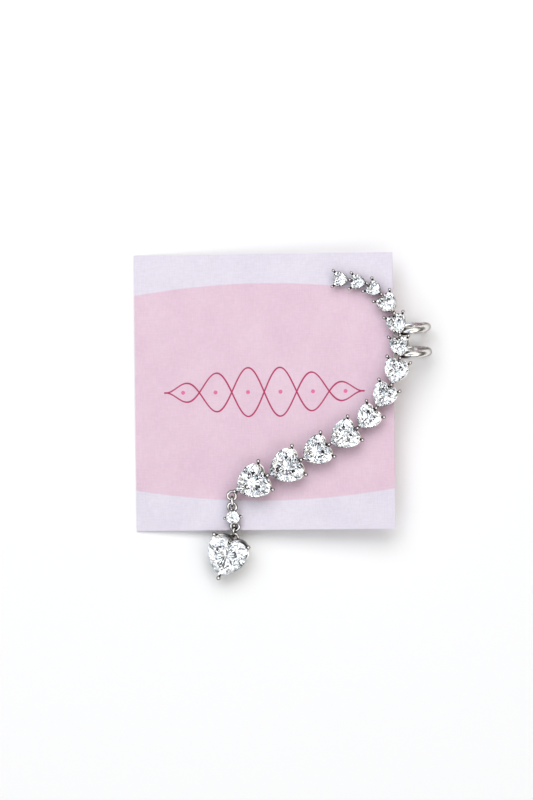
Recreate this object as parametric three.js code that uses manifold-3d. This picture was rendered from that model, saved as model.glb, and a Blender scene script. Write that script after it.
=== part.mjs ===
// An ear cuff with a row of heart-cut stones and a drop, clipped on its display card and lying on a table.
import * as THREE from "three";
import { mergeVertices } from "three/addons/utils/BufferGeometryUtils.js";
import Module from "manifold-3d";

const wasm = await Module();
wasm.setup();

// Display card, in millimetres and degrees
const CARD_WIDTH = 54.1;
const CARD_HEIGHT = 57.4;
const CARD_THICKNESS = 0.5;
const CARD_TURN = 0.65;

// Widths of the cut stones
const TINY_STONE = 3;
const SMALL_STONE = 4;
const MIDDLE_STONE = 5;
const LARGE_STONE = 6;
const GRAND_STONE = 7;
const DROP_STONE = 8.4;
const ROUND_STONE = 2.8;

// Metalwork of the settings
const PRONG_THICKNESS = 0.5;
const BEAD_DIAMETER = 0.63;
const BEAD_GROWTH = 0.046;
const BEAD_OFFSET = 0.6;
const BEAD_CLEARANCE = 0.06;
const WALL_THICKNESS = 0.3;
const BRIDGE_THICKNESS = 0.6;
const HEART_GAP = 0.66;
const CULET_HEIGHT = 0.2;
const STONE_GAP = 0.15;

// The two open rings that clip on the ear
const RING_DIAMETER = 8.9;
const RING_WIDTH = 1.6;
const RING_THICKNESS = 1.1;
const RING_OPENING = 2;
const RING_START = 26;
const RING_LEAN = 8;
const RING_RISE = 0.2;

// Eyes and links of the hanging part
const EYE_DIAMETER = 1.75;
const EYE_WIRE = 0.58;
const EYE_HEIGHT = 1.8;
const LINK_WIRE = 0.46;
const LINK_WIDTH = 1.7;
const LINK_SLACK = 0.12;
const ROUND_EYE_HEIGHT = 0.85;
const DROP_EYE_HEIGHT = 1.6;

// How the parts lie: the first heart from the card's lower left corner, then the hanging pieces
const ROW_START_X = 42.9;
const ROW_START_Y = 52.36;
const SEAT_GAP = 0.3;
const EYELET_COURSE = 129;
const EYELET_DISTANCE = 1.19;
const ROUND_COURSE = 83;
const ROUND_DISTANCE = 4.25;
const ROUND_LEAN = 18;
const DROP_COURSE = 97.3;
const DROP_DISTANCE = 7.87;
const DROP_HEADING = 110;
const DROP_LEAN = 17;
const LEAN_COURSE = 135;
const LOWER_LINK_ROLL = 24;

// Proportions of a cut stone, as shares of its width
const TABLE_SHARE = 0.58;
const STAR_SHARE = 0.78;
const STAR_RISE = 0.58;
const LOWER_SHARE = 0.24;
const LOWER_DEPTH = 0.77;
const CROWN_RISE = 0.14;
const GIRDLE_BAND = 0.03;
const PAVILION_DEPTH = 0.42;

// Heart outline, as shares of its width: two lobes and curved flanks that meet in the tip
const LOBE_RADIUS = 0.29;
const LOBE_X = 0.21;
const LOBE_Y = 0.21;
const FLANK_X = 0.5;
const FLANK_UPPER_Y = -0.11;
const FLANK_LOWER_X = 0.3;
const FLANK_LOWER_Y = -0.35;
const TIP_Y = -0.5;
const HEART_CENTRE_Y = 0.02;
const NOTCH_DEPTH = Math.sqrt(LOBE_RADIUS ** 2 - LOBE_X ** 2);
const NOTCH_Y = LOBE_Y + NOTCH_DEPTH;

// Wall of a setting, as shares of the stone's outline at its foot and its top
const WALL_FOOT = 0.84;
const WALL_TOP = 0.99;
const PRONG_FOOT = 0.8;

// Bead of a prong, as shares of its radius, and how far it stands over the girdle as a share of its diameter
const BEAD_NECK = 0.8;
const BEAD_BAND = 0.4;
const BEAD_RISE = 0.17;
const SHOULDER_TURN = 45;

// Where the row is soldered, as shares of a heart's width from its middle
const TIP_JOINT = 0.45;
const NOTCH_JOINT = 0.37;
const RING_JOINT = 0.42;

// Section of the rings' half-round wire, as shares of half its thickness and half its width
const RING_SECTION = [
  { depth: -1, side: 1 },
  { depth: 0.2, side: 0.85 },
  { depth: 1, side: 0.35 },
  { depth: 1, side: -0.35 },
  { depth: 0.2, side: -0.85 },
  { depth: -1, side: -1 },
];
const RING_END_SHARE = 0.6;

// Points closer than this are one point
const WELD = 1e-4;

// Facets and sides of the solids
const HEART_MAINS = 10;
const ROUND_MAINS = 8;
const WALL_POINTS = 16;
const PRONG_SIDES = 6;
const WIRE_SIDES = 6;
const EYE_SIDES = 12;
const RING_STEPS = 22;

// The row from its small end down to the lobe: courses and headings are degrees clockwise from the right
const HEARTS = [
  { width: TINY_STONE, course: 0, heading: 4 },
  { width: TINY_STONE, course: 9, heading: 8 },
  { width: TINY_STONE, course: 24, heading: 34 },
  { width: SMALL_STONE, course: 47, heading: 54 },
  { width: SMALL_STONE, course: 66, heading: 72 },
  { width: SMALL_STONE, course: 83, heading: 86 },
  { width: MIDDLE_STONE, course: 98.5, heading: 106 },
  { width: MIDDLE_STONE, course: 116.5, heading: 120 },
  { width: MIDDLE_STONE, course: 126.5, heading: 133 },
  { width: LARGE_STONE, course: 143, heading: 148 },
  { width: LARGE_STONE, course: 150.5, heading: 150 },
  { width: GRAND_STONE, course: 153, heading: 154 },
  { width: GRAND_STONE, course: 155, heading: 153 },
];

// Which hearts carry a ring, and how each ring is turned on the card's plane
const RINGS = [
  { heart: 4, turn: 6.5 },
  { heart: 5, turn: 1.5 },
];

const radians = THREE.MathUtils.degToRad;
const UP = new THREE.Vector3(0, 0, 1);

const METAL = { color: 0xd2d0ce, roughness: 0.16, metalness: 1 };
const STONE = { color: 0xf4f6fa, roughness: 0.02, metalness: 0 };
const PAPER = { color: 0xebc9db, roughness: 0.85, metalness: 0 };

// Turns a geometry into a welded solid
function solid(geometry) {
  const bare = geometry.clone();
  bare.deleteAttribute("normal");
  bare.deleteAttribute("uv");
  const welded = mergeVertices(bare, WELD);
  const corners = welded.index.array;
  const kept = [];
  for (let i = 0; i < corners.length; i += 3) {
    const [a, b, c] = corners.slice(i, i + 3);
    if (a !== b && b !== c && c !== a) {
      kept.push(a, b, c);
    }
  }
  const mesh = new wasm.Mesh({
    numProp: 3,
    vertProperties: welded.attributes.position.array,
    triVerts: new Uint32Array(kept),
  });
  return new wasm.Manifold(mesh);
}

// Joins geometries that overlap into one body
function soldered(geometries) {
  const whole = wasm.Manifold.union(geometries.map(solid)).getMesh();
  const geometry = new THREE.BufferGeometry();
  geometry.setAttribute("position", new THREE.BufferAttribute(whole.vertProperties, 3));
  geometry.setIndex(new THREE.BufferAttribute(whole.triVerts, 1));
  return geometry;
}

// Gathers triangles given as three corners each
function faceted(triangles) {
  const geometry = new THREE.BufferGeometry();
  geometry.setFromPoints(triangles.flat());
  return mergeVertices(geometry, WELD);
}

// Skin between rings of points; the rings run anticlockwise seen from the end that they climb to
function skin(rings, closed) {
  const triangles = [];
  const count = rings[0].length;
  const spans = closed ? rings.length : rings.length - 1;
  for (let r = 0; r < spans; r += 1) {
    const low = rings[r];
    const high = rings[(r + 1) % rings.length];
    for (let i = 0; i < count; i += 1) {
      const j = (i + 1) % count;
      triangles.push([low[i], low[j], high[j]], [low[i], high[j], high[i]]);
    }
  }
  if (!closed) {
    const foot = rings[0];
    const top = rings[rings.length - 1];
    for (let i = 1; i < count - 1; i += 1) {
      triangles.push([foot[0], foot[i + 1], foot[i]], [top[0], top[i], top[i + 1]]);
    }
  }
  return faceted(triangles);
}

// Cuts: the outline of a stone one unit wide, and the point that its facets run to
const heartCut = {
  centre: HEART_CENTRE_Y,
  mains: HEART_MAINS,
  outline(count) {
    const side = new THREE.Path();
    side.moveTo(0, NOTCH_Y);
    side.absarc(-LOBE_X, LOBE_Y, LOBE_RADIUS, Math.atan2(NOTCH_DEPTH, LOBE_X), Math.PI);
    side.bezierCurveTo(-FLANK_X, FLANK_UPPER_Y, -FLANK_LOWER_X, FLANK_LOWER_Y, 0, TIP_Y);
    const left = side.getSpacedPoints(count / 2);
    const right = left.slice(1, -1).reverse().map((p) => new THREE.Vector2(-p.x, p.y));
    return [...left, ...right];
  },
};

const roundCut = {
  centre: 0,
  mains: ROUND_MAINS,
  outline(count) {
    return Array.from({ length: count }, (_, i) => {
      const angle = Math.PI / 2 + (i / count) * 2 * Math.PI;
      return new THREE.Vector2(Math.cos(angle) / 2, Math.sin(angle) / 2);
    });
  },
};

// One ring of an outline, drawn in by a share towards the cut's centre
function layer(cut, points, width, share, z) {
  return points.map((p) => new THREE.Vector3(
    width * share * p.x,
    width * (cut.centre + share * (p.y - cut.centre)),
    z,
  ));
}

function stoneHeights(width) {
  const girdle = CULET_HEIGHT + PAVILION_DEPTH * width;
  const crown = girdle + GIRDLE_BAND * width;
  return {
    culet: CULET_HEIGHT,
    lower: girdle - LOWER_DEPTH * PAVILION_DEPTH * width,
    girdle,
    crown,
    star: crown + STAR_RISE * CROWN_RISE * width,
    table: crown + CROWN_RISE * width,
  };
}

// A brilliant: flat table, stars, kites, girdle facets above and below, and a pavilion to the culet
function cutStone(cut, width) {
  const heights = stoneHeights(width);
  const outline = cut.outline(2 * cut.mains);
  const even = outline.filter((_, i) => i % 2 === 0);
  const odd = outline.filter((_, i) => i % 2 === 1);
  const table = layer(cut, even, width, TABLE_SHARE, heights.table);
  const star = layer(cut, odd, width, STAR_SHARE, heights.star);
  const crown = layer(cut, outline, width, 1, heights.crown);
  const girdle = layer(cut, outline, width, 1, heights.girdle);
  const lower = layer(cut, odd, width, LOWER_SHARE, heights.lower);
  const middle = new THREE.Vector3(0, width * cut.centre, heights.table);
  const culet = new THREE.Vector3(0, width * cut.centre, heights.culet);
  const triangles = [];
  for (let k = 0; k < cut.mains; k += 1) {
    const next = (k + 1) % cut.mains;
    const before = (k + cut.mains - 1) % cut.mains;
    const corner = 2 * k;
    const between = corner + 1;
    const beyond = 2 * next;
    triangles.push(
      [middle, table[k], table[next]],
      [table[k], star[k], table[next]],
      [table[k], crown[corner], star[k]],
      [table[k], star[before], crown[corner]],
      [star[k], crown[corner], crown[between]],
      [star[k], crown[between], crown[beyond]],
      [lower[k], girdle[between], girdle[corner]],
      [lower[k], girdle[beyond], girdle[between]],
      [culet, lower[k], girdle[corner]],
      [culet, girdle[corner], lower[before]],
    );
    for (const [a, b] of [[corner, between], [between, beyond]]) {
      triangles.push([girdle[a], girdle[b], crown[b]], [girdle[a], crown[b], crown[a]]);
    }
  }
  return faceted(triangles);
}

// A straight rod, and a prong that ends in a bead
function turned(profile, from, to, sides) {
  const geometry = new THREE.LatheGeometry(profile, sides);
  const direction = to.clone().sub(from).normalize();
  const turn = new THREE.Quaternion().setFromUnitVectors(new THREE.Vector3(0, 1, 0), direction);
  geometry.applyQuaternion(turn);
  geometry.translate(from.x, from.y, from.z);
  return geometry;
}

function rod(from, to, thickness) {
  const length = from.distanceTo(to);
  const radius = thickness / 2;
  const profile = [[0, 0], [radius, 0], [radius, length], [0, length]];
  return turned(profile.map(([x, y]) => new THREE.Vector2(x, y)), from, to, PRONG_SIDES);
}

function prong(from, to, beadDiameter) {
  const length = from.distanceTo(to);
  const radius = PRONG_THICKNESS / 2;
  const bead = beadDiameter / 2;
  const profile = [
    [0, 0], [radius, 0], [radius, length - bead * BEAD_NECK],
    [bead, length - bead * BEAD_BAND], [bead, length + bead * BEAD_BAND], [0, length + bead],
  ];
  return turned(profile.map(([x, y]) => new THREE.Vector2(x, y)), from, to, PRONG_SIDES);
}

// Height of a setting's wall, just low enough that the stone hangs clear inside it
function wallHeight(width) {
  const inner = WALL_TOP - (2 * (WALL_THICKNESS + STONE_GAP)) / width;
  return CULET_HEIGHT + PAVILION_DEPTH * width * inner;
}

function wall(cut, width) {
  const outline = cut.outline(WALL_POINTS);
  const inward = (2 * WALL_THICKNESS) / width;
  const top = wallHeight(width);
  return skin([
    layer(cut, outline, width, WALL_FOOT, 0),
    layer(cut, outline, width, WALL_TOP, top),
    layer(cut, outline, width, WALL_TOP - inward, top),
    layer(cut, outline, width, WALL_FOOT - inward, 0),
  ], true);
}

// Larger stones have larger beads, and a bead this far out just clears the stone
function beadOf(width) {
  return BEAD_DIAMETER + BEAD_GROWTH * (width - TINY_STONE);
}

function closeOffset(width) {
  return beadOf(width) / 2 + BEAD_CLEARANCE;
}

// A prong stands at a point of the outline and leans outwards to its bead
function prongAt(width, x, y, outward, offset) {
  const foot = new THREE.Vector3(width * x * PRONG_FOOT, width * y * PRONG_FOOT, 0);
  const top = new THREE.Vector3(
    width * x + Math.cos(outward) * offset,
    width * y + Math.sin(outward) * offset,
    stoneHeights(width).crown + beadOf(width) * BEAD_RISE,
  );
  return prong(foot, top, beadOf(width));
}

function heartSetting(width, beadOffset) {
  const diagonal = radians(SHOULDER_TURN);
  const x = LOBE_X + LOBE_RADIUS * Math.cos(diagonal);
  const y = LOBE_Y + LOBE_RADIUS * Math.sin(diagonal);
  return [
    wall(heartCut, width),
    prongAt(width, x, y, diagonal, beadOffset),
    prongAt(width, -x, y, Math.PI - diagonal, beadOffset),
    prongAt(width, 0, TIP_Y, -Math.PI / 2, closeOffset(width)),
  ];
}

function roundSetting(width) {
  const prongs = [0, 1, 2, 3].map((i) => {
    const angle = (i * Math.PI) / 2;
    return prongAt(width, Math.cos(angle) / 2, Math.sin(angle) / 2, angle, closeOffset(width));
  });
  return [wall(roundCut, width), ...prongs];
}

// A flat eye whose hole faces up
function eye(centre) {
  const ring = new THREE.TorusGeometry(EYE_DIAMETER / 2, EYE_WIRE / 2, WIRE_SIDES, EYE_SIDES);
  ring.translate(centre.x, centre.y, centre.z);
  return ring;
}

// An oval link round two wires, turned about its own length
function linkAround(a, b, roll) {
  const radius = (LINK_WIDTH - LINK_WIRE) / 2;
  const geometry = new THREE.TorusGeometry(radius, LINK_WIRE / 2, WIRE_SIDES, EYE_SIDES);
  geometry.rotateZ(Math.PI / EYE_SIDES);
  const reach = a.distanceTo(b) / 2 + EYE_WIRE / 2 + LINK_WIRE / 2 + LINK_SLACK;
  const position = geometry.attributes.position;
  for (let i = 0; i < position.count; i += 1) {
    position.setY(i, position.getY(i) + Math.sign(position.getY(i)) * (reach - radius));
  }
  const along = b.clone().sub(a).normalize();
  const side = new THREE.Vector3().crossVectors(along, UP).normalize();
  const face = side.applyAxisAngle(along, radians(roll));
  const across = new THREE.Vector3().crossVectors(along, face);
  geometry.applyMatrix4(new THREE.Matrix4().makeBasis(across, along, face));
  const middle = a.clone().add(b).multiplyScalar(0.5);
  geometry.translate(middle.x, middle.y, middle.z);
  return geometry;
}

// An open ring of half-round wire, standing on edge with its opening to the left
const ringRadius = (RING_DIAMETER - RING_THICKNESS) / 2;
const openingAngle = 2 * Math.asin((RING_OPENING + RING_THICKNESS) / (2 * ringRadius));
const startAngle = Math.PI / 2 + radians(RING_START);
const endAngle = startAngle + openingAngle - 2 * Math.PI;

function openRing() {
  const rings = [];
  for (let i = 0; i <= RING_STEPS; i += 1) {
    const angle = startAngle + (i / RING_STEPS) * (endAngle - startAngle);
    const fullness = i === RING_STEPS ? RING_END_SHARE / 2 : 1 / 2;
    rings.push(RING_SECTION.map(({ depth, side }) => {
      const reach = ringRadius + depth * RING_THICKNESS * fullness;
      const across = side * RING_WIDTH * fullness;
      return new THREE.Vector3(reach * Math.cos(angle), across, reach * Math.sin(angle));
    }));
  }
  return skin(rings, false);
}

// Direction of a course on the card's plane
function courseVector(degrees, length) {
  const angle = radians(-degrees);
  return new THREE.Vector3(Math.cos(angle) * length, Math.sin(angle) * length, 0);
}

// Places along the row: each heart follows the last at the same gap
function rowOfHearts() {
  const spot = new THREE.Vector3(ROW_START_X, ROW_START_Y, 0);
  return HEARTS.map((heart, i) => {
    if (i > 0) {
      spot.add(courseVector(heart.course, (heart.width + HEARTS[i - 1].width) / 2 + HEART_GAP));
    }
    return { ...heart, spot: spot.clone(), turn: Math.PI / 2 - radians(heart.heading) };
  });
}

// Frame of one heart in the row
function heartMatrix(heart) {
  return new THREE.Matrix4().makeRotationZ(heart.turn).setPosition(heart.spot);
}

// Bridge from a heart's tip to a point further along
function bridgeFrom(heart, target) {
  const level = wallHeight(heart.width) - BRIDGE_THICKNESS / 2;
  const start = heart.spot.clone().add(courseVector(heart.heading, heart.width * TIP_JOINT));
  start.z = Math.min(level, target.z + BRIDGE_THICKNESS);
  return rod(start, target, BRIDGE_THICKNESS);
}

function notchOf(heart) {
  const notch = heart.spot.clone().sub(courseVector(heart.heading, heart.width * NOTCH_JOINT));
  notch.z = wallHeight(heart.width) - BRIDGE_THICKNESS / 2;
  return notch;
}

function ringCentre(row, ring) {
  const heart = row[ring.heart];
  const centre = heart.spot.clone().add(courseVector(heart.heading, heart.width * RING_JOINT));
  centre.add(courseVector(-ring.turn, ringRadius * Math.sin(radians(RING_START))));
  centre.z = RING_RISE - ringRadius * Math.cos(radians(RING_START));
  return centre;
}

function placedRing(row, ring) {
  const geometry = openRing();
  const foot = ringRadius * Math.cos(radians(RING_START));
  geometry.translate(0, 0, -foot);
  geometry.rotateX(radians(RING_LEAN));
  geometry.translate(0, 0, foot);
  geometry.rotateZ(radians(ring.turn));
  const centre = ringCentre(row, ring);
  geometry.translate(centre.x, centre.y, centre.z);
  return geometry;
}

const row = rowOfHearts();
const lastHeart = row[row.length - 1];
const eyelet = lastHeart.spot.clone().add(courseVector(EYELET_COURSE, EYELET_DISTANCE));
eyelet.add(courseVector(lastHeart.heading, closeOffset(lastHeart.width) - TIP_Y * lastHeart.width));
eyelet.z = EYE_HEIGHT;

// The cuff's metal: hearts, bridges, rings and the eyelet, soldered in one
function cuffFrame() {
  const metal = row.flatMap((heart) => {
    const pieces = heartSetting(heart.width, BEAD_OFFSET);
    pieces.forEach((piece) => piece.applyMatrix4(heartMatrix(heart)));
    return pieces;
  });
  for (let i = 0; i < row.length - 1; i += 1) {
    metal.push(bridgeFrom(row[i], notchOf(row[i + 1])));
  }
  const back = lastHeart.spot.clone().sub(eyelet).setZ(0).setLength(EYE_DIAMETER / 2);
  metal.push(bridgeFrom(lastHeart, eyelet.clone().add(back)), eye(eyelet));
  metal.push(...RINGS.map((ring) => placedRing(row, ring)));
  return soldered(metal);
}

// Slopes at which the cuff and the card come to rest on the table, the rings and each other
function restingSlopes() {
  const centre = ringCentre(row, RINGS[0]);
  const ringX = centre.x;
  const endX = ringX + ringRadius * Math.cos(endAngle);
  const ringFoot = RING_DIAMETER / 2 - centre.z;
  const endTop = -centre.z - ringRadius * Math.sin(endAngle) - RING_THICKNESS / 2;
  const heartX = lastHeart.spot.x - lastHeart.width / 2;
  const share = heartX / endX;
  const lift = ringFoot - endTop + SEAT_GAP;
  const cuff = (ringFoot - CARD_THICKNESS - SEAT_GAP - share * lift)
    / (ringX - heartX - share * (ringX - endX));
  const card = (lift - cuff * (ringX - endX)) / endX;
  return { cuff: Math.atan(cuff), card: Math.atan(card) };
}

function named(name, geometry, look) {
  const mesh = new THREE.Mesh(geometry, new THREE.MeshStandardMaterial(look));
  mesh.name = name;
  return mesh;
}

// Lowers or raises a group until its lowest point is at the given height
function seat(group, height) {
  group.position.z = 0;
  group.updateMatrixWorld(true);
  const box = new THREE.Box3().setFromObject(group, true);
  group.position.z = height - box.min.z;
  group.updateMatrixWorld(true);
}

// Leans a group to the lower left
function lean(group, degrees, heading) {
  const towards = courseVector(LEAN_COURSE, 1);
  const axis = new THREE.Vector3().crossVectors(UP, towards);
  const tip = new THREE.Quaternion().setFromAxisAngle(axis, radians(degrees));
  const turn = new THREE.Quaternion().setFromAxisAngle(UP, Math.PI / 2 - radians(heading));
  group.quaternion.copy(tip.multiply(turn));
}

function buildCuff(slope) {
  const group = new THREE.Group();
  group.add(named("cuff_frame", cuffFrame(), METAL));
  row.forEach((heart, i) => {
    const stone = named(`stone_${String(i + 1).padStart(2, "0")}`, cutStone(heartCut, heart.width), STONE);
    stone.position.copy(heart.spot);
    stone.rotation.z = heart.turn;
    group.add(stone);
  });
  group.rotation.y = -slope;
  seat(group, 0);
  return group;
}

function buildCard(slope) {
  const group = new THREE.Group();
  const card = named("display_card", new THREE.BoxGeometry(CARD_WIDTH, CARD_HEIGHT, CARD_THICKNESS), PAPER);
  card.position.set(CARD_WIDTH / 2, CARD_HEIGHT / 2, CARD_THICKNESS / 2);
  group.add(card);
  group.rotation.set(0, -slope, radians(CARD_TURN), "ZYX");
  seat(group, 0);
  return group;
}

// Centre of an eye whose wire runs into the wall of a setting, at a height and a reach of the outline
function eyeOnWall(cut, width, height, reach) {
  const climb = Math.min(height / wallHeight(width), 1);
  const share = WALL_FOOT + (WALL_TOP - WALL_FOOT) * climb;
  const outside = width * (cut.centre + share * (reach - cut.centre));
  return new THREE.Vector3(0, outside - WALL_THICKNESS / 2 + EYE_DIAMETER / 2, height);
}

// The round stone between the links, with an eye at each end
const upperRoundEye = eyeOnWall(roundCut, ROUND_STONE, ROUND_EYE_HEIGHT, 1 / 2);
const lowerRoundEye = upperRoundEye.clone().setY(-upperRoundEye.y);
const roundEyes = [upperRoundEye, lowerRoundEye];

function buildRound() {
  const group = new THREE.Group();
  const metal = soldered([...roundSetting(ROUND_STONE), ...roundEyes.map(eye)]);
  group.add(named("round_setting", metal, METAL), named("round_stone", cutStone(roundCut, ROUND_STONE), STONE));
  return group;
}

// The heart drop, with an eye in its notch
const dropEye = eyeOnWall(heartCut, DROP_STONE, DROP_EYE_HEIGHT, NOTCH_Y);

function buildDrop() {
  const group = new THREE.Group();
  const metal = soldered([...heartSetting(DROP_STONE, closeOffset(DROP_STONE)), eye(dropEye)]);
  group.add(named("drop_setting", metal, METAL), named("drop_stone", cutStone(heartCut, DROP_STONE), STONE));
  return group;
}

// Point of an eye's wire on the side that faces another eye
function wireTowards(eyeCentre, target) {
  const step = target.clone().sub(eyeCentre).setZ(0).setLength(EYE_DIAMETER / 2);
  return eyeCentre.clone().add(step);
}

function buildLink(name, from, to, roll) {
  const geometry = linkAround(wireTowards(from, to), wireTowards(to, from), roll);
  return named(name, geometry, METAL);
}

const slopes = restingSlopes();
const cuff = buildCuff(slopes.cuff);
const card = buildCard(slopes.card);
const eyeletPlace = cuff.localToWorld(eyelet.clone());

const round = buildRound();
const roundSpot = eyeletPlace.clone().add(courseVector(ROUND_COURSE, ROUND_DISTANCE));
lean(round, ROUND_LEAN, ROUND_COURSE);
const cardTop = roundSpot.x * Math.tan(slopes.card) + CARD_THICKNESS;
round.position.set(roundSpot.x, roundSpot.y, 0);
seat(round, cardTop + SEAT_GAP);

const drop = buildDrop();
const dropSpot = roundSpot.clone().add(courseVector(DROP_COURSE, DROP_DISTANCE));
lean(drop, DROP_LEAN, DROP_HEADING);
drop.position.set(dropSpot.x, dropSpot.y, 0);
seat(drop, 0);

const [upperEye, lowerEye] = roundEyes.map((spot) => round.localToWorld(spot.clone()));
const dropEyePlace = drop.localToWorld(dropEye.clone());

const model = new THREE.Group();
model.add(cuff, card, round, drop);
model.add(buildLink("upper_link", eyeletPlace, upperEye, 0));
model.add(buildLink("lower_link", lowerEye, dropEyePlace, LOWER_LINK_ROLL));

// The origin is under the middle of the whole
model.updateMatrixWorld(true);
const bounds = new THREE.Box3().setFromObject(model, true);
const middle = bounds.getCenter(new THREE.Vector3());
model.position.set(-middle.x, -middle.y, 0);

export default model;
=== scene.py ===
import math

import bpy
import numpy as np
from mathutils import Matrix, Vector


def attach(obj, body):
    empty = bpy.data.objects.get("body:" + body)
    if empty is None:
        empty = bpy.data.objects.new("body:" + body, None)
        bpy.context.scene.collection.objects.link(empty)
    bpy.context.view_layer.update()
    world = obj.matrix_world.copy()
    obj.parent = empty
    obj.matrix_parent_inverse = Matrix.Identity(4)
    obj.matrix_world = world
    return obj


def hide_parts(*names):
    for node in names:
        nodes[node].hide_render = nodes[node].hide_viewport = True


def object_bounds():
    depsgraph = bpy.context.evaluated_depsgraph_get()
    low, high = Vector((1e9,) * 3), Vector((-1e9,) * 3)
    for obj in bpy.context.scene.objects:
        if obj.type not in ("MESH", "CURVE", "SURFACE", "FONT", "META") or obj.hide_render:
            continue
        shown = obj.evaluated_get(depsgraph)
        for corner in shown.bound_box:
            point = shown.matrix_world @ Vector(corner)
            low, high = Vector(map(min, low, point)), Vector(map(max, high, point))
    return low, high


# The pieces are measured in millimetres, and the studio in metres
MM = 0.001

# The row of hearts as in the CAD: width, course from the last heart, heading
HEARTS = [
    (3, 0, 4), (3, 9, 8), (3, 24, 34), (4, 47, 54), (4, 66, 72), (4, 83, 86), (5, 98.5, 106),
    (5, 116.5, 120), (5, 126.5, 133), (6, 143, 148), (6, 150.5, 150), (7, 153, 154), (7, 155, 153),
]
HEART_GAP = 0.66
ROUND_STONE, ROUND_HEADING = 2.8, 83
DROP_STONE, DROP_HEADING = 8.4, 110
CULET, STONE_GAP = 0.2, 0.15

# Outline of a heart, one unit wide: two round lobes and a curved flank down to the tip
LOBE_RADIUS, LOBE_X, LOBE_Y = 0.29, 0.21, 0.21
FLANK = [(-0.5, LOBE_Y), (-0.5, -0.11), (-0.3, -0.35), (0, -0.5)]
CENTRE_Y = 0.02
NOTCH = math.sqrt(LOBE_RADIUS**2 - LOBE_X**2)
OUTLINE_STEPS = 200

# Cut of the stones, as shares of their width, crown or pavilion, and main facets for each width
TABLE, STAR, STAR_RISE = 0.58, 0.78, 0.58
CROWN, GIRDLE, PAVILION = 0.14, 0.03, 0.42
PAVILION_ROWS = [(0.76, 0.31), (0.53, 0.57), (0.28, 0.79)]
FACET_JITTER, JITTER_SEED = 0.005, 12
MAINS = {3: 8, 4: 9, 5: 12, 6: 13, 7: 14}
ROUND_MAINS, DROP_MAINS = 8, 16

# Wall of a setting: thickness, shares of the stone's width, heights from the foot, depths from the top
WALL, WALL_SIDES = 0.3, 96
WALL_FOOT, WALL_TOP, WALL_RAIL = 0.87, 0.99, 1.03
FOOT_FLARE, FOOT_NECK, RAIL_NECK, RIM_ROLL = 0.03, 0.02, 0.05, 0.25
FOOT_CHAMFER, FOOT_BAND, FOOT_STEP = 0.05, 0.3, 0.42
RAIL_STEP, RAIL_LOW, RAIL_HIGH, RIM_CHAMFER = 0.44, 0.36, 0.1, 0.06

# Prongs and the beads on them
PRONG, PRONG_SIDES, PRONG_CHAMFER = 0.48, 20, 0.12
PRONG_FOOT, PRONG_TAPER, PRONG_NECK = 0.8, 0.42, 0.44
BEAD, BEAD_GROWTH, TINY_STONE = 0.63, 0.046, 3
BEAD_OFFSET, BEAD_CLEARANCE = 0.6, 0.06
BEAD_FILL, BEAD_RISE, BEAD_POLE = 0.99, 0.17, 0.012
BEAD_START, BEAD_SWEEP, BEAD_STEPS = -48, 138, 12
SHOULDER_DEPTH, NECK_DEPTH = 1.5, 0.95

# Bridges between the hearts
BRIDGE, BRIDGE_TAPER, BRIDGE_CHAMFER, BRIDGE_SIDES = 0.56, 0.8, 0.1, 16
TIP_JOINT, NOTCH_JOINT, RING_JOINT = 0.45, 0.37, 0.42

# The two open rings: the heart that each one sits under, counted from 0, and its turn
RINGS = [(4, 6.5), (5, 1.5)]
RING_DIAMETER, RING_WIDTH, RING_THICKNESS, RING_OPENING = 8.88, 1.6, 1.1, 2
RING_START, RING_LEAN, RING_RISE = 26, 8, 0.2
RING_STEPS, RING_SIDES = 96, 20
RING_FLATNESS, RING_END_STEPS, RING_END_LEAST = 0.35, 3.0, 0.04

# Eyes and links
EYE_DIAMETER, EYE_WIRE, EYE_HEIGHT = 1.75, 0.6, 1.8
LINK_WIRE, LINK_WIDTH, LINK_SLACK = 0.5, 1.7, 0.1
ROUND_EYE_HEIGHT, DROP_EYE_HEIGHT = 0.85, 1.6
EYELET_COURSE, EYELET_DISTANCE = 129, 1.19
LOWER_LINK_ROLL = 24
TORUS_STEPS, TORUS_SIDES = 40, 14

# Printing on the card, and the grain of its paper
PANEL_EDGE, PANEL_BEND, PANEL_BLUR = 22.6, 0.0032, 0.12
PLAIT_PITCH, PLAIT_HEIGHT, PLAIT_REACH = 13.6, 5.2, 21.0
PLAIT_LINE, PLAIT_BEAD, LINE_BLUR, PLAIT_LIMIT = 0.16, 0.42, 0.04, 0.12
WHOLE_PITCHES = 200
THREAD_STRETCHES = [(3.4, 0.5), (0.5, 3.4)]
LINEN_RANGE, LINEN_SHADES = (1.15, 1.85), (0.955, 1.04)
CARD_ROUGH, CARD_BUMP = 0.75, 0.3

# Finish of the plating, and the shade painted into its colour where pieces crowd together or face sideways
PLATE_TINT, PLATE_SPREAD = (1, 0.975, 0.95), (0.91, 1.09)
PLATE_PAINTED_SHADE, PLATE_EDGE = (0.155, 0.14, 0.13, 1), (0.35, 0.32, 0.30, 1)
PLATE_ROUGH, ROUGH_SPREAD, PLATE_BUMP, BUMP_DEPTH = 0.08, 0.09, 0.06, 0.04
CROWDING, CROWDED, CLEAR_OF_OTHERS = 1.3, 0.3, 0.85

# Colours of the stones and of the card, each from its darker clouds to its lighter ones
CLOUDS = (0.3, 0.7)
STONE_TINTS = [(0.93, 0.955, 0.985), (0.985, 0.995, 1.0)]
PINKS = [(0.76, 0.545, 0.655), (0.80, 0.595, 0.70)]
LAVENDERS = [(0.76, 0.70, 0.80), (0.80, 0.745, 0.84)]
LINE_INK, BEAD_INK = (0.46, 0.022, 0.115, 1), (0.76, 0.16, 0.36, 1)
STONE_INDEX = 2.15

# Scales of the noise in the finishes
PLATE_CLOUDS, PLATE_GRAIN, STONE_CLOUDS, CARD_CLOUDS, PAPER_GRAIN = 900, 6000, 700, 160, 1400

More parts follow.
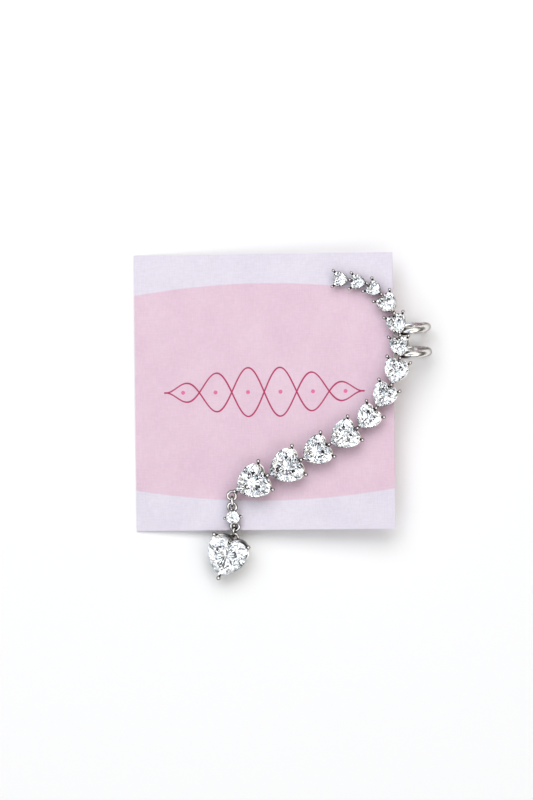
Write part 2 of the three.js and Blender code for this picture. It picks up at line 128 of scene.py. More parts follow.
# The studio: brightness by height and tint by bearing
SKY = [
    (0.0, (0.14, 0.125, 0.115)), (0.53, (0.11, 0.10, 0.09)), (0.58, (0.75, 0.75, 0.75)),
    (0.68, (0.85, 0.85, 0.85)), (0.74, (1.75, 1.75, 1.75)), (0.82, (1.8, 1.8, 1.8)),
    (0.85, (1.3, 1.32, 1.36)), (0.88, (1.8, 1.8, 1.8)), (0.94, (1.7, 1.7, 1.7)),
    (0.965, (0.21, 0.22, 0.26)), (1.0, (0.14, 0.15, 0.19)),
]
NEUTRAL = (1, 0.99, 0.97)
TINTS = [
    (0.0, NEUTRAL), (0.18, (0.82, 0.91, 1)), (0.34, NEUTRAL), (0.52, (1, 0.92, 0.82)),
    (0.66, NEUTRAL), (0.84, (0.80, 0.90, 1)), (1.0, NEUTRAL),
]
WORLD_STRENGTH = 0.94
LIGHT_COUNT, LIGHT_PHASE = 9.0, 0.6
GAP_SINE, LIGHT_SINE, GAP_SHARE, LIGHT_SHARE = -0.92, -0.6, 0.42, 1.05
FLOOR_REACH, FLOOR_DROP = 3.0, 0.00002
FLOOR_COLOUR, FLOOR_ROUGH = (0.985, 0.98, 0.98, 1), 0.9
KEY_PLACE, KEY_SIZE, KEY_POWER = (-0.06, 0.40, 0.62), (0.64, 0.46), 2.35
SPARK_BEARINGS = (75, 190, 310)
SPARK_DISTANCE, SPARK_HEIGHT, SPARK_SIZE, SPARK_POWER = 0.45, 0.5, 0.40, 0.8

# The camera: the photograph's frame in pixels, the card's edges in it, the lens and its limits
PIXEL = 0.2075 * MM
FRAME_HEIGHT, FRAME_MIDDLE_X, FRAME_MIDDLE_Y = 800, 266.5, 400
CARD_LEFT, CARD_TOP = 133.1, 252.1
LENS, SENSOR, NEAR, FAR = 250, 36, 0.01, 10
PIXEL_LEVEL = 0.006

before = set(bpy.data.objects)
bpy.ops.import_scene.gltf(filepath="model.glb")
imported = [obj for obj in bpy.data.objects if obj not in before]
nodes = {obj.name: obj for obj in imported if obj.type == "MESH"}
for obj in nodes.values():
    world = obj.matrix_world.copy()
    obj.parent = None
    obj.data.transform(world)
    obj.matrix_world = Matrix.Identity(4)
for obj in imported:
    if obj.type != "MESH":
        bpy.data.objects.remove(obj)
cad_box = [list(corner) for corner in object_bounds()]
chance = np.random.default_rng(JITTER_SEED)


# Outlines of the cuts, one unit wide
def resampled(points, count):
    steps = np.linalg.norm(np.diff(points, axis=0), axis=1)
    along = np.concatenate([[0], np.cumsum(steps)])
    wanted = np.linspace(0, along[-1], count + 1)
    return np.stack([np.interp(wanted, along, points[:, i]) for i in (0, 1)], axis=1)


def heart_outline(count):
    arc = np.linspace(math.atan2(NOTCH, LOBE_X), math.pi, OUTLINE_STEPS)
    lobe = np.stack([-LOBE_X + LOBE_RADIUS * np.cos(arc), LOBE_Y + LOBE_RADIUS * np.sin(arc)], axis=1)
    t = np.linspace(0, 1, OUTLINE_STEPS)[1:, None]
    a, b, c, d = (np.array(p, float) for p in FLANK)
    flank = a * (1 - t) ** 3 + 3 * b * t * (1 - t) ** 2 + 3 * c * t**2 * (1 - t) + d * t**3
    left = resampled(np.concatenate([lobe, flank]), count // 2)
    right = left[1:-1][::-1] * [-1, 1]
    return np.concatenate([left, right])


def round_outline(count):
    angle = math.pi / 2 + np.arange(count) * 2 * math.pi / count
    return np.stack([np.cos(angle) / 2, np.sin(angle) / 2], axis=1)


# One level of a cut or a wall: the outline brought to a share of its size about its centre
def layer(points, centre, width, share, z):
    x = width * share * points[:, 0]
    y = width * (centre + share * (points[:, 1] - centre))
    return np.column_stack([x, y, np.full(len(points), z)])


# A shape gathers points and faces, in millimetres
class Shape:
    def __init__(self):
        self.points = []
        self.faces = []

    def add(self, points, faces, matrix=None):
        start = len(self.points)
        for p in points:
            v = Vector([float(c) for c in p])
            self.points.append(matrix @ v if matrix else v)
        self.faces += [[start + i for i in f] for f in faces]

    def rings(self, rings, matrix=None, closed=False):
        count = len(rings[0])
        faces = []
        spans = len(rings) if closed else len(rings) - 1
        for r in range(spans):
            low, high = r * count, ((r + 1) % len(rings)) * count
            for i in range(count):
                j = (i + 1) % count
                faces.append([low + i, low + j, high + j, high + i])
        if not closed:
            faces.append(list(range(count))[::-1])
            faces.append([(len(rings) - 1) * count + i for i in range(count)])
        self.add([p for ring in rings for p in ring], faces, matrix)

    def made(self, name, material, replaced, slot="metal", smooth=40):
        mesh = bpy.data.meshes.new(name)
        mesh.from_pydata([tuple(p * MM) for p in self.points], [], self.faces)
        mesh.validate()
        if smooth:
            mesh.shade_smooth()
            mesh.set_sharp_from_angle(angle=math.radians(smooth))
        mesh.materials.append(material)
        piece = bpy.data.objects.new(name, mesh)
        bpy.context.scene.collection.objects.link(piece)
        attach(piece, "root")
        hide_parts(replaced)


# A turned pin from start towards end, its profile given as radius and distance
def turned(shape, profile, start, end, sides, matrix):
    start, end = Vector(start), Vector(end)
    turn = Vector((0, 0, 1)).rotation_difference(end - start).to_matrix()
    rings = []
    for radius, along in profile:
        ring = []
        for i in range(sides):
            a = i * 2 * math.pi / sides
            ring.append(start + turn @ Vector((radius * math.cos(a), radius * math.sin(a), along)))
        rings.append(ring)
    shape.rings(rings, matrix)


# Where the stones lie, read from their solids
def stone_frame(name, width, heading, centre):
    mesh = nodes[name].data
    areas = {}
    for face in mesh.polygons:
        key = tuple(round(c, 3) for c in face.normal)
        areas[key] = areas.get(key, 0) + face.area
    normal = Vector(max(areas, key=areas.get)).normalized()
    turn = Vector((0, 0, 1)).rotation_difference(normal).to_matrix().to_4x4()
    points = [v.co / MM for v in mesh.vertices]
    culet = min(points, key=lambda p: p.dot(normal))
    spin = turn @ Matrix.Rotation(math.pi / 2 - math.radians(heading), 4, "Z")
    origin = culet - spin @ Vector((0, width * centre, CULET))
    return Matrix.Translation(origin) @ spin, turn, origin


# Building shader trees
def new_material(name):
    made = bpy.data.materials.new(name)
    made.use_nodes = True
    tree = made.node_tree
    tree.nodes.clear()
    return made, tree


def new_node(tree, kind, inputs=None, **settings):
    made = tree.nodes.new(kind)
    for key, value in settings.items():
        setattr(made, key, value)
    for key, value in (inputs or {}).items():
        if isinstance(value, bpy.types.NodeSocket):
            tree.links.new(value, made.inputs[key])
        else:
            made.inputs[key].default_value = value
    return made


def finished(tree, **inputs):
    named = {key.replace("_", " "): value for key, value in inputs.items()}
    shader = new_node(tree, "ShaderNodeBsdfPrincipled", named)
    output = tree.nodes.new("ShaderNodeOutputMaterial")
    tree.links.new(shader.outputs[0], output.inputs["Surface"])


def math_node(tree, operation, a, b=0.0):
    return new_node(tree, "ShaderNodeMath", {0: a, 1: b}, operation=operation).outputs[0]


def length_of(tree, a, b):
    squares = [math_node(tree, "MULTIPLY", side, side) for side in (a, b)]
    return math_node(tree, "SQRT", math_node(tree, "ADD", *squares))


def mapped(tree, value, low, high, first=0.0, last=1.0):
    ranges = {"Value": value, "From Min": low, "From Max": high, "To Min": first, "To Max": last}
    return new_node(tree, "ShaderNodeMapRange", ranges).outputs["Result"]


def noise(tree, place, scale, detail, roughness=0.5):
    settings = {"Vector": place, "Scale": scale, "Detail": detail, "Roughness": roughness}
    return new_node(tree, "ShaderNodeTexNoise", settings).outputs["Fac"]


def ramp(tree, factor, stops):
    made = new_node(tree, "ShaderNodeValToRGB", {"Fac": factor})
    elements = made.color_ramp.elements
    while len(elements) < len(stops):
        elements.new(0.5)
    for element, (place, colour) in zip(elements, stops):
        element.position = place
        element.color = (*colour, 1)
    return made.outputs["Color"]


def clouded(tree, clouds, colours):
    return ramp(tree, clouds, list(zip(CLOUDS, colours)))


def mixed(tree, factor, a, b):
    return new_node(tree, "ShaderNodeMix", {0: factor, 6: a, 7: b}, data_type="RGBA").outputs[2]


def bumped(tree, height, strength):
    settings = {"Height": height, "Strength": strength, "Distance": BUMP_DEPTH * MM}
    return new_node(tree, "ShaderNodeBump", settings).outputs["Normal"]


def stroke(tree, distance, half):
    return mapped(tree, distance, half - LINE_BLUR, half + LINE_BLUR, 1.0, 0.0)


# Polished plating, with shade painted into its colour where pieces crowd together and down its flanks
def metal_material(name, tone, flank, painted_flank_shade, rough=PLATE_ROUGH):
    made, tree = new_material(name)
    place = new_node(tree, "ShaderNodeTexCoord").outputs["Object"]
    clouds = noise(tree, place, PLATE_CLOUDS, detail=3)
    tones = [[channel * tone * share for channel in PLATE_TINT] for share in PLATE_SPREAD]
    polished = clouded(tree, clouds, tones)
    distance = {"Distance": CROWDING * MM}
    openness = new_node(tree, "ShaderNodeAmbientOcclusion", distance, samples=8).outputs["AO"]
    facing = new_node(tree, "ShaderNodeTexCoord").outputs["Normal"]
    upward = new_node(tree, "ShaderNodeSeparateXYZ", {0: facing}).outputs["Z"]
    # Painted shade and painted dark reflection: surfaces that face sideways or down are darkened
    shade = mapped(tree, upward, *flank, painted_flank_shade, 0.0)
    # Painted shade: the colour is darkened where other pieces crowd close
    colour = mixed(tree, mapped(tree, openness, CROWDED, CLEAR_OF_OTHERS), PLATE_PAINTED_SHADE, polished)
    finished(
        tree,
        Base_Color=mixed(tree, shade, colour, PLATE_PAINTED_SHADE),
        Metallic=1.0,
        Roughness=mapped(tree, clouds, *CLOUDS, rough, rough + ROUGH_SPREAD),
        Normal=bumped(tree, noise(tree, place, PLATE_GRAIN, detail=2), PLATE_BUMP),
        Specular_Tint=PLATE_EDGE,
    )
    return made


def stone_material():
    made, tree = new_material("clear_stone")
    place = new_node(tree, "ShaderNodeTexCoord").outputs["Object"]
    colour = clouded(tree, noise(tree, place, STONE_CLOUDS, detail=2), STONE_TINTS)
    finished(tree, Base_Color=colour, Roughness=0.0, IOR=STONE_INDEX, Transmission_Weight=1.0)
    return made


# The card's own directions across and up its face, and its middle
def card_axes(card):
    corners = np.array([v.co for v in card.data.vertices], float).reshape(-1, 3)
    faces = sorted(card.data.polygons, key=lambda f: -f.area)
    normal = next(Vector(f.normal) for f in faces if f.normal.z > 0.5)
    left = corners[corners[:, 0] < corners[:, 0].mean()].mean(0)
    right = corners[corners[:, 0] > corners[:, 0].mean()].mean(0)
    across = (Vector(right) - Vector(left)).normalized()
    return across, normal.cross(across).normalized(), Vector(corners.mean(0))


# A plain plait of two fine lines with beads between them
def plait_print(tree, u, v, ground):
    turn = math_node(tree, "MULTIPLY", u, 2 * math.pi / PLAIT_PITCH)
    reach = math_node(tree, "DIVIDE", math_node(tree, "ABSOLUTE", u), PLAIT_REACH)
    inner = math_node(tree, "SUBTRACT", 1.0, math_node(tree, "POWER", reach, 2.0))
    swell = math_node(tree, "MULTIPLY", math_node(tree, "MAXIMUM", inner, 0.0), PLAIT_HEIGHT)
    wave = math_node(tree, "MULTIPLY", swell, math_node(tree, "SINE", turn))
    run = math_node(tree, "MULTIPLY", swell, math_node(tree, "COSINE", turn))
    steep = length_of(tree, math_node(tree, "MULTIPLY", run, 2 * math.pi / PLAIT_PITCH), 1.0)
    lines = []
    for sign in (1.0, -1.0):
        away = math_node(tree, "SUBTRACT", v, math_node(tree, "MULTIPLY", wave, sign))
        distance = math_node(tree, "DIVIDE", math_node(tree, "ABSOLUTE", away), steep)
        lines.append(stroke(tree, distance, PLAIT_LINE))
    within = math_node(tree, "GREATER_THAN", inner, 0.0)
    plait = math_node(tree, "MULTIPLY", math_node(tree, "MAXIMUM", *lines), within)
    ground = mixed(tree, plait, ground, LINE_INK)
    shifted = math_node(tree, "ADD", u, WHOLE_PITCHES * PLAIT_PITCH)
    folded = math_node(tree, "PINGPONG", shifted, PLAIT_PITCH / 4)
    bead = length_of(tree, math_node(tree, "SUBTRACT", folded, PLAIT_PITCH / 4), v)
    shown = math_node(tree, "GREATER_THAN", inner, PLAIT_LIMIT)
    beads = math_node(tree, "MULTIPLY", stroke(tree, bead, PLAIT_BEAD), shown)
    return mixed(tree, beads, ground, BEAD_INK)


# Linen grain of the paper: fine threads along it and across it
def linen_grain(tree, u, v, place):
    threads = []
    for stretch_u, stretch_v in THREAD_STRETCHES:
        long_u = math_node(tree, "MULTIPLY", u, stretch_u)
        long_v = math_node(tree, "MULTIPLY", v, stretch_v)
        weave = new_node(tree, "ShaderNodeCombineXYZ", {"X": long_u, "Y": long_v}).outputs["Vector"]
        threads.append(noise(tree, weave, 1, detail=2))
    grain = noise(tree, place, PAPER_GRAIN, detail=4, roughness=0.7)
    return math_node(tree, "ADD", math_node(tree, "ADD", *threads), grain)


def card_material(card):
    made, tree = new_material("printed_card")
    across, up, middle = card_axes(card)
    place = new_node(tree, "ShaderNodeTexCoord").outputs["Object"]

    def along(direction):
        inputs = {0: place, 1: direction}
        dot = new_node(tree, "ShaderNodeVectorMath", inputs, operation="DOT_PRODUCT").outputs["Value"]
        return math_node(tree, "MULTIPLY", math_node(tree, "SUBTRACT", dot, middle.dot(direction)), 1 / MM)

    u, v = along(across), along(up)
    height = math_node(tree, "ABSOLUTE", v)
    arch = math_node(tree, "MULTIPLY", math_node(tree, "MULTIPLY", u, u), PANEL_BEND)
    edge = math_node(tree, "SUBTRACT", math_node(tree, "ADD", height, arch), PANEL_EDGE)
    band = mapped(tree, edge, -PANEL_BLUR, PANEL_BLUR)
    cloud = noise(tree, place, CARD_CLOUDS, detail=3)
    paper = mixed(tree, band, clouded(tree, cloud, PINKS), clouded(tree, cloud, LAVENDERS))
    ground = plait_print(tree, u, v, paper)
    linen = linen_grain(tree, u, v, place)
    speckle = mapped(tree, linen, *LINEN_RANGE, *LINEN_SHADES)
    toned = new_node(tree, "ShaderNodeVectorMath", {0: ground, 1: speckle}, operation="MULTIPLY")
    bump = bumped(tree, linen, CARD_BUMP)
    finished(tree, Base_Color=toned.outputs[0], Roughness=CARD_ROUGH, Normal=bump)
    return made


# One rhodium plating in three copies: the galleries a darker copy with more flank shade, as painted shade,
# and the rings a lighter copy with less, as painted light
metal = metal_material("rhodium_plate", tone=0.76, flank=(0.5, 0.95), painted_flank_shade=0.95)
shaded_metal = metal_material("rhodium_plate_galleries_painted_shade", tone=0.60, flank=(0.1, 0.7), painted_flank_shade=0.3)
ring_metal = metal_material("rhodium_plate_rings", tone=0.84, flank=(0.0, 0.45), painted_flank_shade=0.4, rough=0.2)
clear = stone_material()
card = nodes["display_card"]
card.data.materials.clear()
card.data.materials.append(card_material(card))


# Heights of a stone and of its setting's wall
def stone_heights(width):
    girdle = CULET + PAVILION * width
    crown = girdle + GIRDLE * width
    return CULET, girdle, crown, crown + STAR_RISE * CROWN * width, crown + CROWN * width


def wall_height(width):
    return CULET + PAVILION * width * (WALL_TOP - 2 * (WALL + STONE_GAP) / width)


# A brilliant whose pavilion has rows of kites between the girdle and the culet
def cut_stone(outline, centre, width, mains, matrix):
    culet_z, girdle_z, crown_z, star_z, table_z = stone_heights(width)
    points = outline(2 * mains)
    even, odd = points[0::2], points[1::2]
    layers = [
        layer(even, centre, width, TABLE, table_z),
        layer(odd, centre, width, STAR, star_z),
        layer(points, centre, width, 1, crown_z),
        layer(points, centre, width, 1, girdle_z),
    ]
    for row, (share, depth) in enumerate(PAVILION_ROWS):
        side = even if row % 2 else odd
        facets = layer(side, centre, width, share, girdle_z - depth * PAVILION * width)
        layers.append(facets + chance.uniform(-FACET_JITTER, FACET_JITTER, facets.shape) * width)
    layers.append(np.array([[0, width * centre, culet_z]]))
    starts = np.concatenate([[0], np.cumsum([len(part) for part in layers])])
    table, star, crown, girdle, high, middle, low, culet = starts[:8]
    faces = [[table + k for k in range(mains)]]
    for k in range(mains):
        after, before = (k + 1) % mains, (k - 1) % mains
        corner, between, beyond = 2 * k, 2 * k + 1, 2 * after
        faces += [
            [table + k, star + k, table + after],
            [table + k, star + before, crown + corner, star + k],
            [star + k, crown + corner, crown + between],
            [star + k, crown + between, crown + beyond],
            [girdle + corner, girdle + between, crown + between, crown + corner],
            [girdle + between, girdle + beyond, crown + beyond, crown + between],
            [high + k, girdle + between, girdle + corner],
            [high + k, girdle + beyond, girdle + between],
            [middle + k, high + k, girdle + corner, high + before],
            [low + k, middle + after, high + k, middle + k],
            [culet, low + k, middle + k, low + before],
        ]
    stone = Shape()
    stone.add(np.concatenate(layers), faces, matrix)
    return stone


def setting_wall(shape, outline, centre, width, matrix):
    points = outline(WALL_SIDES)
    top = wall_height(width)
    inward = 2 * WALL / width
    rim = RIM_ROLL * inward
    section = [
        (WALL_FOOT - rim, 0.0),
        (WALL_FOOT, FOOT_CHAMFER),
        (WALL_FOOT + FOOT_FLARE, FOOT_BAND),
        (WALL_FOOT + FOOT_NECK, FOOT_STEP),
        (WALL_TOP - RAIL_NECK, top - RAIL_STEP),
        (WALL_RAIL, top - RAIL_LOW),
        (WALL_RAIL, top - RAIL_HIGH),
        (WALL_TOP - rim, top),
        (WALL_TOP - inward + rim, top),
        (WALL_TOP - inward, top - RIM_CHAMFER),
        (WALL_FOOT - inward, FOOT_CHAMFER),
        (WALL_FOOT - inward + rim, 0.0),
    ]
    shape.rings([layer(points, centre, width, share, z) for share, z in section], matrix, closed=True)


def bead_of(width):
    return BEAD + BEAD_GROWTH * (width - TINY_STONE)


def close_offset(width):
    return bead_of(width) / 2 + BEAD_CLEARANCE


def prong(shape, width, x, y, outward, offset, matrix):
    foot = Vector((width * x * PRONG_FOOT, width * y * PRONG_FOOT, 0))
    height = stone_heights(width)[2] + bead_of(width) * BEAD_RISE
    away = Vector((math.cos(outward) * offset, math.sin(outward) * offset, height))
    top = Vector((width * x, width * y, 0)) + away
    length = (top - foot).length
    radius = bead_of(width) / 2 * BEAD_FILL
    profile = [
        (PRONG * PRONG_TAPER, 0),
        (PRONG / 2, PRONG_CHAMFER),
        (PRONG / 2, length - radius * SHOULDER_DEPTH),
        (PRONG * PRONG_NECK, length - radius * NECK_DEPTH),
    ]
    for i in range(1, BEAD_STEPS):
        angle = math.radians(BEAD_START + i * BEAD_SWEEP / BEAD_STEPS)
        profile.append((max(radius * math.cos(angle), BEAD_POLE), length + radius * math.sin(angle)))
    turned(shape, profile, foot, top, PRONG_SIDES, matrix)


def heart_setting(gallery, prongs, width, offset, matrix):
    setting_wall(gallery, heart_outline, CENTRE_Y, width, matrix)
    diagonal = math.pi / 4
    x = LOBE_X + LOBE_RADIUS * math.cos(diagonal)
    y = LOBE_Y + LOBE_RADIUS * math.sin(diagonal)
    prong(prongs, width, x, y, diagonal, offset, matrix)
    prong(prongs, width, -x, y, math.pi - diagonal, offset, matrix)
    prong(prongs, width, 0, -0.5, -math.pi / 2, close_offset(width), matrix)


# Place of an eye whose wire is let into a setting's wall
def eye_on_wall(centre, width, height, reach):
    climb = min(height / wall_height(width), 1)
    share = WALL_FOOT + (WALL_TOP - WALL_FOOT) * climb
    outside = width * (centre + share * (reach - centre))
    return Vector((0, outside - WALL / 2 + EYE_DIAMETER / 2, height))


def torus(shape, radius, wire, matrix, stretch=0.0):
    rings = []
    for i in range(TORUS_STEPS):
        a = (i + 0.5) * 2 * math.pi / TORUS_STEPS
        ring = []
        for j in range(TORUS_SIDES):
            b = j * 2 * math.pi / TORUS_SIDES
            reach = radius + wire / 2 * math.cos(b)
            y = reach * math.sin(a)
            ring.append((reach * math.cos(a), y + math.copysign(stretch, y), wire / 2 * math.sin(b)))
        rings.append(ring)
    shape.rings(rings, matrix, closed=True)


# A long link round two wires, rolled about its own length
def link_around(a, b, roll):
    radius = (LINK_WIDTH - LINK_WIRE) / 2
    reach = (b - a).length / 2 + EYE_WIRE / 2 + LINK_WIRE / 2 + LINK_SLACK
    along = (b - a).normalized()
    side = along.cross(Vector((0, 0, 1))).normalized()
    face = Matrix.Rotation(math.radians(roll), 3, along) @ side
    across = along.cross(face)
    matrix = Matrix((across, along, face)).transposed().to_4x4()
    link = Shape()
    torus(link, radius, LINK_WIRE, Matrix.Translation((a + b) / 2) @ matrix, reach - radius)
    return link


# Middle of an eye's wire on the side towards a target
def wire_towards(eye, target):
    step = target - eye
    step.z = 0
    return eye + step.normalized() * (EYE_DIAMETER / 2)


# A step on the cuff's plane, with degrees counted clockwise from the right
def course(degrees, length):
    angle = math.radians(-degrees)
    return Vector((math.cos(angle) * length, math.sin(angle) * length, 0))


# The row on the cuff's own plane
spots = [Vector((0, 0, 0))]
for i in range(1, len(HEARTS)):
    step = (HEARTS[i][0] + HEARTS[i - 1][0]) / 2 + HEART_GAP
    spots.append(spots[-1] + course(HEARTS[i][1], step))
stone_frames = []
for i, (width, _, heading) in enumerate(HEARTS):
    stone_frames.append(stone_frame(f"stone_{i + 1:02d}", width, heading, CENTRE_Y))
_, cuff_turn, last_origin = stone_frames[-1]
cuff = Matrix.Translation(last_origin - cuff_turn @ spots[-1]) @ cuff_turn


# The hearts and their settings
def heart_row():
    galleries, prongs = Shape(), Shape()
    for i, (width, _, _) in enumerate(HEARTS):
        matrix = stone_frames[i][0]
        heart_setting(galleries, prongs, width, BEAD_OFFSET, matrix)
        stone = cut_stone(heart_outline, CENTRE_Y, width, MAINS[width], matrix)
        stone.made(f"heart_stone_{i + 1:02d}", clear, f"stone_{i + 1:02d}", "stone", 0)
    galleries.made("heart_galleries", shaded_metal, "cuff_frame")
    prongs.made("heart_prongs", metal, "cuff_frame")


# A bridge runs from the tip of heart number i to a target on the cuff's plane
def bridge(shape, i, target):
    width, _, heading = HEARTS[i]
    level = wall_height(width) - BRIDGE / 2
    start = spots[i] + course(heading, width * TIP_JOINT)
    start.z = min(level, target.z + BRIDGE)
    length = (target - start).length
    radius = BRIDGE / 2
    profile = [
        (radius * BRIDGE_TAPER, 0),
        (radius, BRIDGE_CHAMFER),
        (radius, length - BRIDGE_CHAMFER),
        (radius * BRIDGE_TAPER, length),
    ]
    turned(shape, profile, start, target, BRIDGE_SIDES, cuff)


# Bridges between the hearts, and the eyelet at the lobe end
def bridges_and_eyelet():
    bridges = Shape()
    for i in range(len(HEARTS) - 1):
        width, _, heading = HEARTS[i + 1]
        notch = spots[i + 1] - course(heading, width * NOTCH_JOINT)
        notch.z = wall_height(width) - BRIDGE / 2
        bridge(bridges, i, notch)
    last_width, _, last_heading = HEARTS[-1]
    tip = course(last_heading, close_offset(last_width) + 0.5 * last_width)
    eyelet = spots[-1] + course(EYELET_COURSE, EYELET_DISTANCE) + tip
    eyelet.z = EYE_HEIGHT
    back = spots[-1] - eyelet
    back.z = 0
    bridge(bridges, len(HEARTS) - 1, eyelet + back.normalized() * (EYE_DIAMETER / 2))
    torus(bridges, EYE_DIAMETER / 2, EYE_WIRE, cuff @ Matrix.Translation(eyelet))
    bridges.made("bridges_and_eyelet", metal, "cuff_frame")
    return cuff @ eyelet


# Section of an open ring: half round, flatter on its inner side and rounded off at its end
def ring_section(angle, full, radius):
    section = []
    for j in range(RING_SIDES):
        a = j * 2 * math.pi / RING_SIDES
        depth = math.sin(a)
        depth = depth if depth > 0 else depth * RING_FLATNESS
        depth = (depth + RING_FLATNESS) / (1 + RING_FLATNESS) * 2 - 1
        reach = radius + depth * RING_THICKNESS / 2 * full
        side = math.cos(a) * RING_WIDTH / 2 * full
        section.append((reach * math.cos(angle), side, reach * math.sin(angle)))
    return section


def ear_ring(number, heart, turn):
    radius = (RING_DIAMETER - RING_THICKNESS) / 2
    opening = 2 * math.asin((RING_OPENING + RING_THICKNESS) / (2 * radius))
    first = math.pi / 2 + math.radians(RING_START)
    last = first + opening - 2 * math.pi
    foot = radius * math.cos(math.radians(RING_START))
    width, _, heading = HEARTS[heart]
    centre = spots[heart] + course(heading, width * RING_JOINT)
    centre += course(-turn, radius * math.sin(math.radians(RING_START)))
    centre.z = RING_RISE - foot
    place = (
        cuff @ Matrix.Translation(centre) @ Matrix.Rotation(math.radians(turn), 4, "Z")
        @ Matrix.Translation((0, 0, foot)) @ Matrix.Rotation(math.radians(RING_LEAN), 4, "X")
        @ Matrix.Translation((0, 0, -foot))
    )
    sections = []
    for i in range(RING_STEPS + 1):
        t = i / RING_STEPS
        from_end = (1 - t) * RING_STEPS / RING_END_STEPS
        full = math.sqrt(max(1 - (1 - min(from_end, 1)) ** 2, RING_END_LEAST))
        sections.append(ring_section(first + t * (last - first), full, radius))
    band = Shape()
    band.rings(sections, place)
    band.made(f"ear_ring_{number}", ring_metal, "cuff_frame", smooth=50)


# The round stone in its four prongs, with an eye at each end
def round_part():
    matrix, _, _ = stone_frame("round_stone", ROUND_STONE, ROUND_HEADING, 0)
    gallery, basket = Shape(), Shape()
    setting_wall(gallery, round_outline, 0, ROUND_STONE, matrix)
    gallery.made("round_gallery", shaded_metal, "round_setting")
    for i in range(4):
        angle = i * math.pi / 2
        x, y = math.cos(angle) / 2, math.sin(angle) / 2
        prong(basket, ROUND_STONE, x, y, angle, close_offset(ROUND_STONE), matrix)
    upper = eye_on_wall(0, ROUND_STONE, ROUND_EYE_HEIGHT, 0.5)
    lower = Vector((0, -upper.y, upper.z))
    for eye in (upper, lower):
        torus(basket, EYE_DIAMETER / 2, EYE_WIRE, matrix @ Matrix.Translation(eye))
    basket.made("round_basket", metal, "round_setting")
    stone = cut_stone(round_outline, 0, ROUND_STONE, ROUND_MAINS, matrix)
    stone.made("round_brilliant", clear, "round_stone", "stone", 0)
    return matrix @ upper, matrix @ lower


# The drop in its basket, with an eye in its notch
def drop_part():
    matrix, _, _ = stone_frame("drop_stone", DROP_STONE, DROP_HEADING, CENTRE_Y)
    gallery, basket = Shape(), Shape()
    heart_setting(gallery, basket, DROP_STONE, close_offset(DROP_STONE), matrix)
    gallery.made("drop_gallery", shaded_metal, "drop_setting")
    eye = eye_on_wall(CENTRE_Y, DROP_STONE, DROP_EYE_HEIGHT, LOBE_Y + NOTCH)
    torus(basket, EYE_DIAMETER / 2, EYE_WIRE, matrix @ Matrix.Translation(eye))
    basket.made("drop_basket", metal, "drop_setting")
    stone = cut_stone(heart_outline, CENTRE_Y, DROP_STONE, DROP_MAINS, matrix)
    stone.made("drop_brilliant", clear, "drop_stone", "stone", 0)
    return matrix @ eye


heart_row()
eyelet_place = bridges_and_eyelet()
for number, (heart, turn) in enumerate(RINGS):
    ear_ring(number + 1, heart, turn)
upper_place, lower_place = round_part()
drop_place = drop_part()
for name, a, b, roll in [
    ("upper_link", eyelet_place, upper_place, 0),
    ("lower_link", lower_place, drop_place, LOWER_LINK_ROLL),
]:
    link = link_around(wire_towards(a, b), wire_towards(b, a), roll)
    link.made(f"{name}_loop", metal, name)


# Floor, world, lights and camera
def pale_floor():
    mesh = bpy.data.meshes.new("floor")
    corners = [(-1, -1, 0), (1, -1, 0), (1, 1, 0), (-1, 1, 0)]
    mesh.from_pydata([Vector(corner) * FLOOR_REACH for corner in corners], [], [(0, 1, 2, 3)])
    floor = bpy.data.objects.new("floor", mesh)
    floor.location.z = -FLOOR_DROP
    bpy.context.scene.collection.objects.link(floor)
    made, tree = new_material("pale_floor")
    finished(tree, Base_Color=FLOOR_COLOUR, Roughness=FLOOR_ROUGH)
    mesh.materials.append(made)


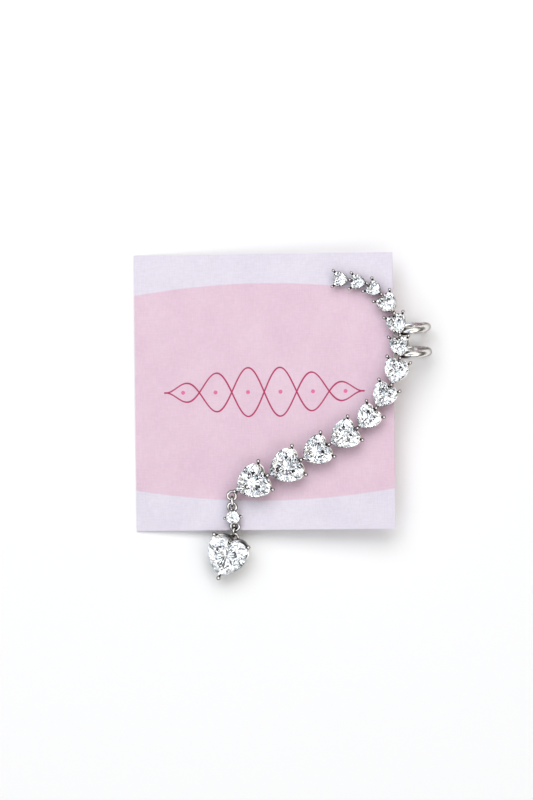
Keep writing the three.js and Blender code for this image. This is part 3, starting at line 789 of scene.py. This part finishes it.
# Light panels stand round the object, with darker gaps between them
def studio_world():
    world = bpy.data.worlds.new("studio")
    bpy.context.scene.world = world
    world.use_nodes = True
    tree = world.node_tree
    tree.nodes.clear()
    direction = new_node(tree, "ShaderNodeTexCoord").outputs["Generated"]
    parts = new_node(tree, "ShaderNodeSeparateXYZ", {0: direction}).outputs
    bearing = math_node(tree, "ARCTAN2", parts["Y"], parts["X"])
    turned_by = math_node(tree, "ADD", math_node(tree, "MULTIPLY", bearing, LIGHT_COUNT), LIGHT_PHASE)
    shares = mapped(tree, math_node(tree, "SINE", turned_by), GAP_SINE, LIGHT_SINE, GAP_SHARE, LIGHT_SHARE)
    tints = ramp(tree, mapped(tree, bearing, -math.pi, math.pi), TINTS)
    bands = ramp(tree, parts["Z"], SKY)
    tinted = new_node(tree, "ShaderNodeVectorMath", {0: bands, 1: tints}, operation="MULTIPLY").outputs[0]
    light = math_node(tree, "MULTIPLY", shares, WORLD_STRENGTH)
    background = new_node(tree, "ShaderNodeBackground", {"Color": tinted, "Strength": light})
    output = new_node(tree, "ShaderNodeOutputWorld")
    tree.links.new(background.outputs[0], output.inputs["Surface"])


def area_light(name, place, size, power):
    data = bpy.data.lights.new(name, "AREA")
    data.shape = "RECTANGLE"
    data.size, data.size_y = size
    data.energy = power
    lamp = bpy.data.objects.new(name, data)
    lamp.location = place
    lamp.rotation_mode = "QUATERNION"
    lamp.rotation_quaternion = (-Vector(place)).to_track_quat("-Z", "Y")
    bpy.context.scene.collection.objects.link(lamp)
    return lamp


# The key lights the card and the floor, and the sparks show only in the stones and the metal
def studio_lights():
    key = area_light("key", KEY_PLACE, KEY_SIZE, KEY_POWER)
    key.visible_glossy = False
    key.visible_transmission = False
    for number, degrees in enumerate(SPARK_BEARINGS):
        turn = math.radians(degrees)
        place = (SPARK_DISTANCE * math.cos(turn), SPARK_DISTANCE * math.sin(turn), SPARK_HEIGHT)
        spark = area_light(f"spark_{number + 1}", place, (SPARK_SIZE, SPARK_SIZE), SPARK_POWER)
        spark.visible_diffuse = False


def overhead_camera():
    data = bpy.data.cameras.new("camera")
    data.sensor_width = SENSOR
    data.lens = LENS
    data.clip_start, data.clip_end = NEAR, FAR
    camera = bpy.data.objects.new("camera", data)
    distance = LENS / SENSOR * FRAME_HEIGHT * PIXEL
    low, high = (Vector(corner) for corner in cad_box)
    x = low.x + (FRAME_MIDDLE_X - CARD_LEFT) * PIXEL
    y = high.y - (FRAME_MIDDLE_Y - CARD_TOP) * PIXEL
    camera.location = (x, y, PIXEL_LEVEL + distance)
    bpy.context.scene.collection.objects.link(camera)
    bpy.context.scene.camera = camera
    bpy.context.scene.view_settings.view_transform = "Standard"


pale_floor()
studio_world()
studio_lights()
overhead_camera()
